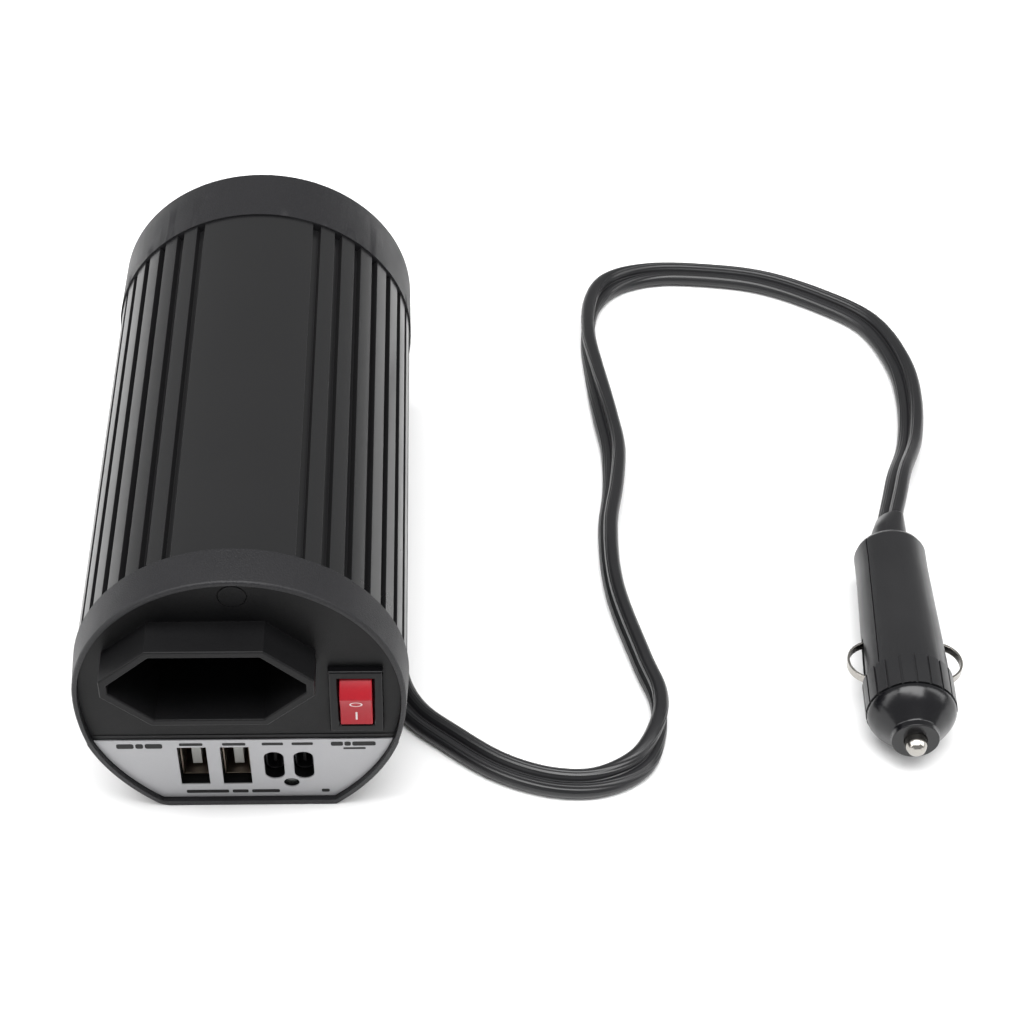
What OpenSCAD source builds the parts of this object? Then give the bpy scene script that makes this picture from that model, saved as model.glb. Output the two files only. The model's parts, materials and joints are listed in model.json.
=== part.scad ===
// Pocket power inverter: a finned aluminium tube between two plastic end caps,
// with a two-pin outlet, a rocker switch and charging ports on the front face,
// and a flat twin lead that ends in a 12 V socket plug.
// Millimetres. +Z up, front face toward -Y, origin under the middle of the body.

/* [Body] */
// Width of the body
body_w = 65; // [64:0.5:66]
// Height of the circular crown's centre above the flat base
axis_h = 34; // [33.5:0.5:35]
// Width of the flat base
flat_w = 35.8; // [35:0.2:37]
// Length of the front cap's skirt
front_skirt = 8.6; // [8.4:0.1:9.2]
// Visible length of the aluminium tube
tube_l = 104.4; // [104:0.2:110]
// Length of the rear cap's skirt
rear_skirt = 14.9; // [14.9:0.1:16]

/* [Tube] */
// Depth of a cooling groove
groove_d = 1.5; // [1:0.1:1.6]
// Width of a cooling groove
groove_w = 1.8; // [1.2:0.1:2.2]
// Angle from the crown's middle to the first groove, in degrees
groove_start = 23; // [22:0.5:24]

/* [Front face] */
// How far the outlet collar stands out of the front face
collar_proud = 6.5; // [6:0.1:7]
// Backward tilt of the port panel, in degrees
label_tilt = 8; // [7:0.5:9]
// Width across the outlet well's tips
well_w = 37.2; // [36.6:0.2:37.6]
// Height of the outlet well
well_h = 16.8; // [16.4:0.2:17]
// Spacing of the two outlet contacts
contact_pitch = 19; // [18.6:0.1:19.4]

/* [Switch] */
// Width of the switch bezel
bezel_w = 10.5; // [10.3:0.1:10.7]
// Height of the switch bezel
bezel_h = 16.8; // [16.6:0.1:17]
// Tilt of the rocker at rest, in degrees
rocker_tilt = 13; // [11:1:13]

/* [Lead and plug] */
// Width of the flat twin lead
lead_w = 6.5; // [6:0.1:6.6]
// Thickness of the flat twin lead
lead_t = 3.3; // [3:0.1:3.3]
// Radius of the plug's fluted ring
ring_r = 9.4; // [9.2:0.1:9.5]
// How far the plug's sprung tip stands out
tip_out = 3.2; // [3:0.1:4]

/* [Hidden] */

round_fn = 96;
small_fn = 48;
eps = 0.01;

body_r = body_w / 2;
side_in = body_r - flat_w / 2;
low_r = (side_in * side_in + axis_h * axis_h) / (2 * side_in);
low_cx = low_r - body_r;
body_l = front_skirt + tube_l + rear_skirt;
total_l = body_l + collar_proud;
y_collar = -total_l / 2;
y_front = y_collar + collar_proud;
y_tube0 = y_front + front_skirt;
y_tube1 = y_tube0 + tube_l;
y_rear = total_l / 2;

tube_step = 0.4;
tube_wall = 3.2;
tube_in = tube_step + tube_wall;
groove_pitch = 9.2;
crown_grooves = 8;
side_grooves = 6;
crown_r = body_r - tube_step;
side_r = low_r - tube_step;
groove_arc = groove_pitch * PI / 180 * crown_r;
side_pitch = groove_arc / (PI / 180 * side_r);
crown_last = groove_start + (crown_grooves - 1) * groove_pitch;
side_start = (groove_arc - (90 - crown_last) * PI / 180 * crown_r) / (PI / 180 * side_r);
boss_r = 3;
boss_bore = 1.25;
BOSSES = [[0, 26.9], [-18.5, -26], [18.5, -26]];
rail_t = 1.2;
rail_in = 23;

front_draw = 0.5;
rear_draw = 0.2;
rim_t = 1.5;
panel_gap = 0.05;
spigot_gap = 0.1;
spigot_t = 1.2;
spigot_l = 6;
flange_t = 1.8;
panel_back = 1.5;
panel_t = 2.2;
label_top = -11.8;
label_step = 1.1;
label_t = 0.35;
plate_t = 2;
label_face_y = y_front + label_step + label_t;

well_x = -5.25;
well_z = 10.3;
well_half = 10.3;
collar_wall = 1.6;
tip_half = 1;
well_floor_y = y_front + 9.7;
insert_t = 9;
contact_bore = 2.1;
contact_out = 3;
contact_l = 14;
entry_r = 2.45;
insert_face_t = 2;

switch_x = 22.35;
switch_z = -0.5;
bezel_proud = 1.6;
bezel_face_y = y_front + panel_back - bezel_proud;
rocker_depth = 3.5;
pivot_y = bezel_face_y + rocker_depth;
rocker_r = 6.9;
rocker_w = 6.2;
rocker_crest = 4.6;
rocker_dish = 0.98;
rocker_back = 1.4;
rocker_gap = 0.3;
cavity_w = 6.5;
pin_r = 0.8;
pin_gap = 0.05;
pin_l = 0.8;
housing_w = 9.2;
housing_h = 15.6;
housing_d = 12;

usb_a_w = 5.7;
usb_a_h = 13.1;
usb_a_x = [-10.4, -2];
usb_c_w = 3.9;
usb_c_h = 9.5;
usb_c_x = [5.55, 11.4];
port_v = 9.65;
port_d = 13.6;
shell_t = 0.35;
port_gap = 0.1;
led_x = 8.7;
led_v = 15.85;
led_r = 1.5;
port_board_t = 1.6;

board_z = -17.6;
board_t = 1.6;
board_w = 50;
board_y0 = y_tube0 + 14;
board_y1 = y_tube1 - 6;
deck_z = board_z + board_t;

fan_s = 40;
fan_t = 10;
fan_y = y_tube1 + 1;
fan_bore = 18.6;
fan_hub = 8;
fan_blade_r = 18;
cap_wall = 2;
end_wall = 2.4;
vent_w = 2.2;
vent_r = [7, 10.6, 14.2, 17.8];
fan_hole = 16;
head_t = 1.3;
head_sink = 1.4;

relief_x = -8;
relief_z = 8.5;
relief_l = 22;

// Route of the lead: x, y, lift above lying on the base, roll of the ribbon.
ROUTE = [
    [-8, 89.2, 6.8, 180], [-8, 95, 6.2, 180], [-3, 107, 4.4, 180], [10, 112.5, 2, 180],
    [22.5, 107, 0.5, 180], [28, 94, 0, 180], [28, 72, 0, 180], [28, 48, 0, 180],
    [28, 24, 0, 180], [28, 4, 0, 180], [28, -12, 0, 180], [29, -24.5, 0, 180],
    [33, -34, 0, 178], [40.5, -41.5, 0, 175], [50.5, -49.5, 0, 172], [61, -53.8, 0, 170],
    [71, -54, 0, 165], [79.5, -49.5, 0, 135], [83.5, -41, 0, 100], [84.3, -32, 0, 82],
    [81.5, -21, 0, 78], [77, 0, 0, 76], [76.5, 19, 0, 70], [78.5, 34, 0, 60],
    [79.2, 47, 0, 42], [78, 59, 0, 38], [76.3, 74, 0, 65], [75.3, 88, 0, 88],
    [77, 101, 0, 105], [82.5, 110, 0, 140], [92.5, 114.5, 0, 165], [105, 114.5, 0, 170],
    [120, 111.5, 0, 168], [134, 103.8, 0, 165], [145, 94, 0, 162], [150.3, 79, 0, 155],
    [151, 64, 0, 145], [148.6, 48, 0.8, 138], [143.8, 33.5, 4.2, 134], [141.2, 24, 5.6, 133],
    [138.8, 15.5, 6.5, 132]
];
lobe_r = lead_t / 2;
lobe_x = lead_w / 2 - lobe_r;

plug_x = 137.25;
plug_y = 5.6;
plug_z = ring_r;
plug_yaw = 2.2;
boot_bend = 6.5;
boot_l = 10;
boot_r = 3.9;
barrel_l = 40;
seam_turn = -48;
seam_gap = 0.24;
barrel_r0 = 7.8;
barrel_r1 = 8.9;
ring_l = 8.2;
dome_l = 6.4;
collar_l = 1.4;
dome_r = 4.9;
tip_r = 2.3;
fuse_l = 30;
fuse_r = 3.1;
spring_span = 12.1;
leaf_r = 5.5;
leaf_t = 0.5;
leaf_h = 1.8;
leaf_y = -34.2;
lead_roll = ROUTE[len(ROUTE) - 1][3];

function catmull(a, b, c, d, t) =
    0.5 * (2 * b + (c - a) * t + (2 * a - 5 * b + 4 * c - d) * t * t
    + (3 * b - a - 3 * c + d) * t * t * t);
function route_at(i, t) =
    let (n = len(ROUTE))
    let (a = i > 0 ? ROUTE[i - 1] : 2 * ROUTE[0] - ROUTE[1])
    let (d = i + 2 < n ? ROUTE[i + 2] : 2 * ROUTE[n - 1] - ROUTE[n - 2])
    catmull(a, ROUTE[i], ROUTE[i + 1], d, t);
function half_height(roll) = max([for (s = SECTION) s[0] * sin(roll) + s[1] * cos(roll)]);
function route_point(q) = [q[0], q[1], max(q[2], 0) + half_height(q[3])];
function unit(v) = v / norm(v);
function ring_at(p, t, roll) =
    let (side = unit(cross(t, [0, 0, 1])))
    let (up = cross(side, t))
    let (a = cos(roll) * side + sin(roll) * up)
    let (b = cross(t, a))
    [for (s = SECTION) p + a * s[0] + b * s[1]];
corner = 0.42;
SECTION = [
    [lead_w / 2, -lobe_r * corner], [lead_w / 2, lobe_r * corner],
    [lobe_x * 1.3, lobe_r], [-lobe_x * 1.3, lobe_r],
    [-lead_w / 2, lobe_r * corner], [-lead_w / 2, -lobe_r * corner],
    [-lobe_x * 1.3, -lobe_r], [lobe_x * 1.3, -lobe_r]
];

// ---- shared shapes ----

// Section of the body, seen from the front, with its origin at the crown's centre
module body_outline(inset) {
    r = body_r - inset;
    h = axis_h - inset;
    intersection() {
        circle(r = r, $fn = round_fn);
        translate([-r, 0]) square([2 * r, r]);
    }
    intersection() {
        translate([-low_cx, 0]) circle(r = low_r - inset, $fn = round_fn);
        translate([low_cx, 0]) circle(r = low_r - inset, $fn = round_fn);
        translate([-r, -h]) square([2 * r, h]);
    }
}

// Extrudes a section from y0 to y1
module along(y0, y1) {
    translate([0, y1, axis_h]) rotate([90, 0, 0]) linear_extrude(y1 - y0) children();
}

// Body section at full size at y_full, drawn in to a smaller section at y_small
module drawn_in(y_full, y_small, inset) {
    y0 = min(y_full, y_small);
    y1 = max(y_full, y_small);
    front = y_small < y_full ? inset : 0;
    rear = inset - front;
    intersection() {
        cone(0, y0, y1, body_r - front, body_r - rear);
        translate([-50, y0, axis_h]) cube([100, y1 - y0, 50]);
    }
    intersection() {
        cone(-low_cx, y0, y1, low_r - front, low_r - rear);
        cone(low_cx, y0, y1, low_r - front, low_r - rear);
        translate([-50, y0, 0]) cube([100, y1 - y0, axis_h]);
    }
}

module cone(x, y0, y1, r_front, r_rear) {
    translate([x, y1, axis_h]) rotate([90, 0, 0])
        cylinder(h = y1 - y0, r1 = r_rear, r2 = r_front, $fn = round_fn);
}

// Round bar along Y at (x, z), measured from the crown's centre
module bar(x, z, y0, y1, r, fn = small_fn) {
    translate([x, y1, axis_h + z]) rotate([90, 0, 0]) cylinder(h = y1 - y0, r = r, $fn = fn);
}

// Block from y0 to y1 centred on (x, z), measured from the crown's centre
module block(x, z, y0, y1, w, h) {
    translate([x - w / 2, y0, axis_h + z - h / 2]) cube([w, y1 - y0, h]);
}

// Space behind the tilted port face, set back by a depth
module behind_label(depth) {
    translate([0, label_face_y, axis_h + label_top]) rotate([label_tilt, 0, 0])
        translate([-50, depth, -60]) cube([100, 60, 120]);
}

// Local frame of the port face: x across, y into the body, z up the face
module on_label(x, v) {
    translate([0, label_face_y, axis_h + label_top]) rotate([label_tilt, 0, 0])
        translate([x, 0, -v]) children();
}

module slot(w, h, y0, y1) {
    r = w / 2;
    translate([0, y1, 0]) rotate([90, 0, 0]) linear_extrude(y1 - y0) {
        translate([0, h / 2 - r]) circle(r = r, $fn = small_fn);
        translate([0, r - h / 2]) circle(r = r, $fn = small_fn);
        square([w, h - w], center = true);
    }
}

module hexagon(grow) {
    tip = well_w / 2 + grow;
    top = well_h / 2 + grow;
    flat = well_half + grow * 0.45;
    blunt = tip_half + grow * 0.65;
    translate([well_x, well_z])
        polygon([
            [tip, -blunt], [tip, blunt], [flat, top], [-flat, top],
            [-tip, blunt], [-tip, -blunt], [-flat, -top], [flat, -top]
        ]);
}

module screw(x, z, y_head, out, l, head_r, shank_r) {
    y_a = out < 0 ? y_head - head_t : y_head;
    y_b = out < 0 ? y_head : y_head + head_t;
    s_a = out < 0 ? y_head - eps : y_head - l;
    s_b = out < 0 ? y_head + l : y_head + eps;
    difference() {
        union() {
            bar(x, z, y_a, y_b, head_r, 32);
            bar(x, z, s_a, s_b, shank_r, 32);
        }
        y_m = out < 0 ? y_a : y_b;
        block(x, z, y_m - 0.8, y_m + 0.8, 0.6, 2.6);
        block(x, z, y_m - 0.8, y_m + 0.8, 2.6, 0.6);
    }
}

// ---- body shell ----

module tube() {
    color("#17171a")
    along(y_tube0, y_tube1) difference() {
        body_outline(tube_step);
        tube_grooves();
        tube_hollow();
    }
}

module tube_hollow() {
    difference() {
        body_outline(tube_in);
        for (b = BOSSES) {
            translate(b) difference() {
                circle(r = boss_r, $fn = small_fn);
                circle(r = boss_bore, $fn = small_fn);
            }
        }
        for (s = [-1, 1]) {
            for (z = [board_z - rail_t, board_z + board_t]) {
                translate([s > 0 ? rail_in : -rail_in - 8, z]) square([8, rail_t]);
            }
        }
    }
}

module tube_grooves() {
    for (s = [-1, 1]) {
        for (i = [0 : crown_grooves - 1]) {
            rotate(-s * (groove_start + i * groove_pitch))
                translate([-groove_w / 2, crown_r - groove_d]) square([groove_w, groove_d + 2]);
        }
        for (i = [0 : side_grooves - 1]) {
            translate([-s * low_cx, 0]) rotate(-s * (90 + side_start + i * side_pitch))
                translate([-groove_w / 2, side_r - groove_d]) square([groove_w, groove_d + 2]);
        }
    }
}

module front_bezel() {
    color("#222225")
    difference() {
        union() {
            drawn_in(y_tube0, y_front, front_draw);
            along(y_tube0, y_tube0 + spigot_l) body_outline(tube_in + spigot_gap);
        }
        along(y_front - 1, y_tube0 - flange_t) body_outline(rim_t);
        along(y_front, y_tube0 + spigot_l + 1) body_outline(tube_in + spigot_gap + spigot_t);
        difference() {
            translate([-50, y_front - 5, 0]) cube([100, 30, axis_h + label_top]);
            behind_label(-label_t - label_step);
        }
        boss_cuts(y_tube0 - 3, y_tube0 + spigot_l + 1);
        rail_cuts(y_tube0, y_tube0 + spigot_l + 1);
        block(switch_x, switch_z, y_tube0 - 3, y_tube0 + spigot_l + 1, housing_w + 0.6,
            housing_h + 0.6);
        along(y_tube0 - 3, y_tube0 + spigot_l + 1) hexagon(collar_wall + 0.3);
    }
}

module boss_cuts(y0, y1) {
    for (b = BOSSES) {
        bar(b[0], b[1], y0, y1, boss_r + 0.3);
    }
}

// Notches that clear the board rails of the tube
module rail_cuts(y0, y1) {
    for (s = [-1, 1]) {
        block(s * (rail_in + 4.5), board_z + board_t / 2, y0, y1, 10,
            board_t + 2 * rail_t + 0.6);
    }
}

module front_panel() {
    y0 = y_front + panel_back;
    color("#2a2a2d")
    difference() {
        union() {
            intersection() {
                along(y0, y0 + panel_t) body_outline(rim_t + panel_gap);
                block(0, label_top + 30, y0 - 1, y0 + 10, 80, 60);
            }
            intersection() {
                along(y_front, y_tube0 - flange_t) body_outline(rim_t + panel_gap);
                behind_label(0);
                difference() {
                    block(0, label_top - 29.2, y_front - 1, y_front + 20, 80, 60);
                    behind_label(plate_t);
                }
            }
            along(y_collar, well_floor_y) hexagon(collar_wall);
            cover_pad();
        }
        along(y_collar - 1, well_floor_y + 1) hexagon(0);
        block(switch_x, switch_z, y_front - 5, y_front + 10, housing_w + 0.1, housing_h + 0.1);
        for (x = usb_a_x) {
            on_label(x, port_v) cube([usb_a_w, 12, usb_a_h], center = true);
        }
        for (x = usb_c_x) {
            on_label(x, port_v) slot(usb_c_w, usb_c_h, -5, 6);
        }
        on_label(led_x, led_v) rotate([90, 0, 0])
            cylinder(r = led_r + 0.05, h = 12, center = true, $fn = small_fn);
        for (b = BOSSES) {
            bar(b[0], b[1], y_front - 1, y_tube0, 1.6);
        }
        bar(BOSSES[0][0], BOSSES[0][1], y_front - 1, y0 + 0.9, 2.75);
        bar(BOSSES[0][0], BOSSES[0][1], y_front - 1, y0 + 2.6, 2.6);
    }
}

// Pad behind the screw hole at the top of the panel
module cover_pad() {
    intersection() {
        bar(BOSSES[0][0], BOSSES[0][1], y_front + panel_back + 0.5, y_tube0 - flange_t, 3.8);
        along(y_front, y_tube0) body_outline(rim_t + panel_gap);
    }
}

module panel_cover() {
    y0 = y_front + panel_back;
    color("#242427")
    bar(BOSSES[0][0], BOSSES[0][1], y0 - 0.1, y0 + 0.9, 2.65);
}

module port_label() {
    color("#c9cacd")
    difference() {
        intersection() {
            along(y_front - 2, y_tube0 - flange_t) body_outline(rim_t + 2 * panel_gap);
            behind_label(-label_t);
            block(0, label_top - 30.5, y_front - 3, y_front + 20, 80, 60);
        }
        behind_label(0);
        for (x = usb_a_x) {
            on_label(x, port_v) cube([usb_a_w, 12, usb_a_h], center = true);
        }
        for (x = usb_c_x) {
            on_label(x, port_v) slot(usb_c_w, usb_c_h, -5, 6);
        }
        on_label(led_x, led_v) rotate([90, 0, 0])
            cylinder(r = led_r + 0.05, h = 12, center = true, $fn = small_fn);
    }
}

module rear_cap() {
    y_in = y_rear - end_wall;
    color("#222225")
    difference() {
        union() {
            drawn_in(y_tube1, y_rear, rear_draw);
            along(y_tube1 - spigot_l, y_tube1) body_outline(tube_in + spigot_gap);
        }
        along(y_tube1 - spigot_l - 1, y_tube1 + 1) body_outline(tube_in + spigot_gap + spigot_t);
        along(y_tube1 + 1 - eps, y_in) body_outline(cap_wall);
        boss_cuts(y_tube1 - spigot_l - 1, y_tube1 + eps);
        rail_cuts(y_tube1 - spigot_l - 1, y_tube1);
        for (b = BOSSES) {
            bar(b[0], b[1], y_tube1 - 1, y_rear + 1, 1.6);
            bar(b[0], b[1], y_rear - head_sink, y_rear + 1, 3);
        }
        difference() {
            for (r = vent_r) {
                difference() {
                    bar(0, 0, y_in - 1, y_rear + 1, r + vent_w / 2, round_fn);
                    bar(0, 0, y_in - 2, y_rear + 2, r - vent_w / 2, round_fn);
                }
            }
            for (a = [0 : 45 : 135]) {
                translate([0, y_rear, axis_h]) rotate([0, a, 0]) cube([60, 12, 1.8], center = true);
            }
        }
        for (x = [-fan_hole, fan_hole]) {
            for (z = [-fan_hole, fan_hole]) {
                bar(x, z, y_in - 1, y_rear + 1, 1.6);
                bar(x, z, y_rear - head_sink, y_rear + 1, 2.8);
            }
        }
        translate([relief_x, y_in - 1, relief_z]) relief_section(end_wall + 2, 0.05);
    }
}

// ---- outlet ----

module socket_insert() {
    y1 = well_floor_y + insert_t;
    color("#101012")
    difference() {
        along(well_floor_y, y1) hexagon(collar_wall - 0.4);
        for (s = [-1, 1]) {
            bar(well_x + s * contact_pitch / 2, well_z, well_floor_y - 1, y1, entry_r);
            bar(well_x + s * contact_pitch / 2, well_z, well_floor_y + insert_face_t, y1 + 1,
                contact_out + 0.05);
        }
    }
}

module socket_contact(s) {
    x = well_x + s * contact_pitch / 2;
    y0 = well_floor_y + insert_face_t;
    color("#c9a24a")
    difference() {
        union() {
            bar(x, well_z, y0, y0 + contact_l, contact_out);
            block(x, well_z, y0 + contact_l - 1, y0 + contact_l + 4, 3, 0.8);
        }
        bar(x, well_z, y0 - 1, y0 + contact_l - 1.5, contact_bore);
        block(x, well_z + 2.4, y0 - 1, y0 + contact_l - 4, 0.6, 3);
    }
}

module socket_contact_left() socket_contact(-1);
module socket_contact_right() socket_contact(1);

// ---- switch ----

module switch_housing() {
    y_panel = y_front + panel_back;
    color("#0c0c0e")
    difference() {
        union() {
            block(switch_x, switch_z, bezel_face_y, y_panel, bezel_w, bezel_h);
            block(switch_x, switch_z, y_panel - eps, y_panel + housing_d, housing_w, housing_h);
        }
        intersection() {
            translate([switch_x, pivot_y, axis_h + switch_z]) rotate([0, 90, 0])
                cylinder(r = rocker_r + rocker_gap, h = cavity_w, center = true, $fn = round_fn);
            block(switch_x, switch_z, bezel_face_y - 9, pivot_y + rocker_r, 20, 40);
        }
        translate([switch_x, pivot_y, axis_h + switch_z]) rotate([0, 90, 0])
            cylinder(r = pin_r + pin_gap, h = rocker_w + 2 * (pin_l + 0.2), center = true,
                $fn = small_fn);
    }
}

module switch_rocker() {
    c = sqrt(rocker_r * rocker_r - rocker_crest * rocker_crest);
    color("#c4242c")
    translate([switch_x, pivot_y, axis_h + switch_z]) rotate([rocker_tilt, 0, 0]) {
        rotate([90, 0, 90]) translate([0, 0, -rocker_w / 2]) linear_extrude(rocker_w)
            intersection() {
                circle(r = rocker_r, $fn = round_fn);
                polygon([
                    [-c, rocker_crest], [-c + rocker_dish, 0], [-c, -rocker_crest],
                    [-c + 0.01, -8], [rocker_back, -8], [rocker_back, 8], [-c + 0.01, 8]
                ]);
            }
        rotate([0, 90, 0]) cylinder(r = pin_r, h = rocker_w + 2 * pin_l, center = true,
            $fn = small_fn);
    }
}

module switch_terminals() {
    y0 = y_front + panel_back + housing_d;
    color("#b9bcc0")
    for (z = [-4, 3]) {
        difference() {
            block(switch_x, switch_z + z, y0, y0 + 8, 4.8, 0.8);
            translate([switch_x, y0 + 5.4, axis_h + switch_z + z])
                cylinder(r = 0.9, h = 4, center = true, $fn = small_fn);
        }
    }
}

// ---- ports ----

module usb_a_shell(x) {
    w = usb_a_w - 2 * port_gap;
    h = usb_a_h - 2 * port_gap;
    color("#8c8275")
    on_label(x, port_v) difference() {
        translate([-w / 2, plate_t + 0.1, -h / 2]) cube([w, port_d - plate_t, h]);
        translate([shell_t - w / 2, -1, shell_t - h / 2])
            cube([w - 2 * shell_t, port_d, h - 2 * shell_t]);
    }
}

module usb_a_tongue(x) {
    color("#dcdcd8")
    on_label(x, port_v) translate([-0.75, 3.9, -5.3]) cube([1.9, port_d - 5, 10.6]);
}

module usb_c_shell(x) {
    w = usb_c_w - 2 * port_gap;
    h = usb_c_h - 2 * port_gap;
    color("#3b3b3e")
    on_label(x, port_v) difference() {
        slot(w, h, plate_t + 0.1, port_d + 0.1);
        slot(w - 2 * shell_t, h - 2 * shell_t, -1, port_d - 0.9);
    }
}

module usb_c_tongue(x) {
    color("#101012")
    on_label(x, port_v) translate([-0.35, 3, -3.3]) cube([0.7, port_d - 3.9, 6.6]);
}

module usb_a_shell_1() usb_a_shell(usb_a_x[0]);
module usb_a_shell_2() usb_a_shell(usb_a_x[1]);
module usb_a_tongue_1() usb_a_tongue(usb_a_x[0]);
module usb_a_tongue_2() usb_a_tongue(usb_a_x[1]);
module usb_c_shell_1() usb_c_shell(usb_c_x[0]);
module usb_c_shell_2() usb_c_shell(usb_c_x[1]);
module usb_c_tongue_1() usb_c_tongue(usb_c_x[0]);
module usb_c_tongue_2() usb_c_tongue(usb_c_x[1]);

module status_led() {
    color("#3f5a46")
    on_label(led_x, led_v) translate([0, port_d + 0.1, 0]) rotate([90, 0, 0])
        cylinder(r = led_r, h = port_d - 0.4, $fn = small_fn);
}

module port_board() {
    color("#1f6b3a")
    on_label(0, port_v + 1) translate([-15, port_d + 0.1, -9.2]) cube([30, port_board_t, 18.4]);
}

// ---- electronics ----

module main_board() {
    color("#1f6b3a")
    translate([-board_w / 2, board_y0, axis_h + board_z])
        cube([board_w, board_y1 - board_y0, board_t]);
}

module deck_block(x, y, w, l, h, z0 = 0) {
    translate([x - w / 2, y - l / 2, axis_h + deck_z + z0]) cube([w, l, h]);
}

module deck_can(x, y, r, h) {
    translate([x, y, axis_h + deck_z]) cylinder(r = r, h = h, $fn = small_fn);
}

module transformer_core() {
    color("#3a3a3e")
    difference() {
        deck_block(-5, -8, 33, 13, 27, 3);
        deck_block(-5, -8, 24.5, 14, 20, 6.5);
    }
}

module transformer_winding() {
    color("#d8b24a") {
        deck_block(-5, -8, 24, 24, 19, 7);
        for (x = [-14, 4]) {
            deck_block(x, -17.8, 3, 3.6, 7.2);
            deck_block(x, 1.8, 3, 3.6, 7.2);
        }
    }
}

module input_capacitors() {
    color("#2c3c78")
    for (x = [-14, 0, 14]) {
        deck_can(x, 32, 5, 20);
    }
}

module output_capacitor() {
    color("#26262a")
    deck_can(1.5, 14.5, 9, 25);
}

module choke() {
    color("#c8772e")
    translate([-15.4, 14, axis_h + deck_z]) rotate_extrude($fn = round_fn)
        translate([3.2, 0]) square([3, 8]);
}

module power_transistors() {
    color("#1b1b1d")
    for (y = [-22, -8, 6, 20]) {
        deck_block(19.2, y, 4.4, 10, 15, 2);
        deck_block(19.6, y, 0.8, 8, 2.2);
    }
}

module heat_bar() {
    color("#a5a8ad")
    difference() {
        deck_block(23.2, -1, 3.6, 56, 18, 1.6);
        for (y = [-22, -8, 6, 20]) {
            translate([20, y, axis_h + deck_z + 13]) rotate([0, 90, 0])
                cylinder(r = 1.3, h = 8, $fn = small_fn);
        }
    }
}

// ---- fan ----

module fan_frame() {
    y1 = fan_y + fan_t;
    color("#151517")
    difference() {
        union() {
            difference() {
                block(0, 0, fan_y, y1, fan_s, fan_s);
                bar(0, 0, fan_y - 1, y1 + 1, fan_bore, round_fn);
            }
            bar(0, 0, fan_y, fan_y + 1.4, fan_hub, round_fn);
            for (a = [45 : 90 : 135]) {
                intersection() {
                    translate([0, fan_y + 0.7, axis_h]) rotate([0, a, 0])
                        cube([46, 1.4, 2.4], center = true);
                    bar(0, 0, fan_y - 1, y1 + 1, fan_bore + 0.4, round_fn);
                }
            }
            bar(0, 0, fan_y, y1 - 2.5, 1.4);
        }
        for (x = [-fan_hole, fan_hole]) {
            for (z = [-fan_hole, fan_hole]) {
                bar(x, z, fan_y - 1, y1 + 1, 1.45);
            }
        }
    }
}

module fan_rotor() {
    y0 = fan_y + 1.8;
    y1 = fan_y + fan_t - 0.4;
    color("#1c1c1f")
    difference() {
        union() {
            bar(0, 0, y0, y1, fan_hub, round_fn);
            for (a = [0 : 60 : 300]) {
                intersection() {
                    translate([0, (y0 + y1) / 2, axis_h]) rotate([0, a, 0]) translate([12.5, 0, 0])
                        rotate([38, 0, 0]) cube([12, 1.1, 16], center = true);
                    bar(0, 0, y0 + 0.4, y1 - 0.4, fan_blade_r, round_fn);
                }
            }
        }
        bar(0, 0, y0 - 1, y1 - 2, 1.45);
    }
}

// ---- fasteners ----

module fan_screws() {
    color("#2b2b2e")
    for (x = [-fan_hole, fan_hole]) {
        for (z = [-fan_hole, fan_hole]) {
            screw(x, z, y_rear - head_sink, 1, 10, 2.6, 1.4);
        }
    }
}

module front_screws() {
    y0 = y_front + panel_back;
    color("#8f9297") screw(BOSSES[0][0], BOSSES[0][1], y0 + 2.6, -1, 12, 2.4, 1.2);
    for (i = [1, 2]) {
        color("#8f9297")
        difference() {
            bar(BOSSES[i][0], BOSSES[i][1], y_front, y_tube0 + 8, 1.2, 32);
            difference() {
                translate([-50, y_front - 9, 0]) cube([100, 30, axis_h]);
                behind_label(0.1);
            }
        }
    }
}

module rear_screws() {
    color("#2b2b2e")
    for (b = BOSSES) {
        screw(b[0], b[1], y_rear - head_sink, 1, 22, 2.8, 1.2);
    }
}

// ---- lead ----

module relief_section(l, grow) {
    r = 4 + grow;
    translate([0, l, 0]) rotate([90, 0, 0]) linear_extrude(l) {
        translate([-1.6, 0]) circle(r = r, $fn = small_fn);
        translate([1.6, 0]) circle(r = r, $fn = small_fn);
        square([3.2, 2 * r], center = true);
    }
}

module cord_relief() {
    color("#141416")
    translate([relief_x, 0, 0]) {
        translate([0, y_rear - end_wall - 2, relief_z]) relief_section(2, 1.2);
        translate([0, y_rear - end_wall, relief_z]) relief_section(end_wall + 1.6, 0);
        hull() {
            translate([0, y_rear + 1.6, relief_z]) relief_section(0.1, 0);
            translate([-lead_w / 2, y_rear + relief_l - 0.1, relief_z - lobe_r - 0.25])
                cube([lead_w, 0.1, lead_t + 0.5]);
        }
    }
}

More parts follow.
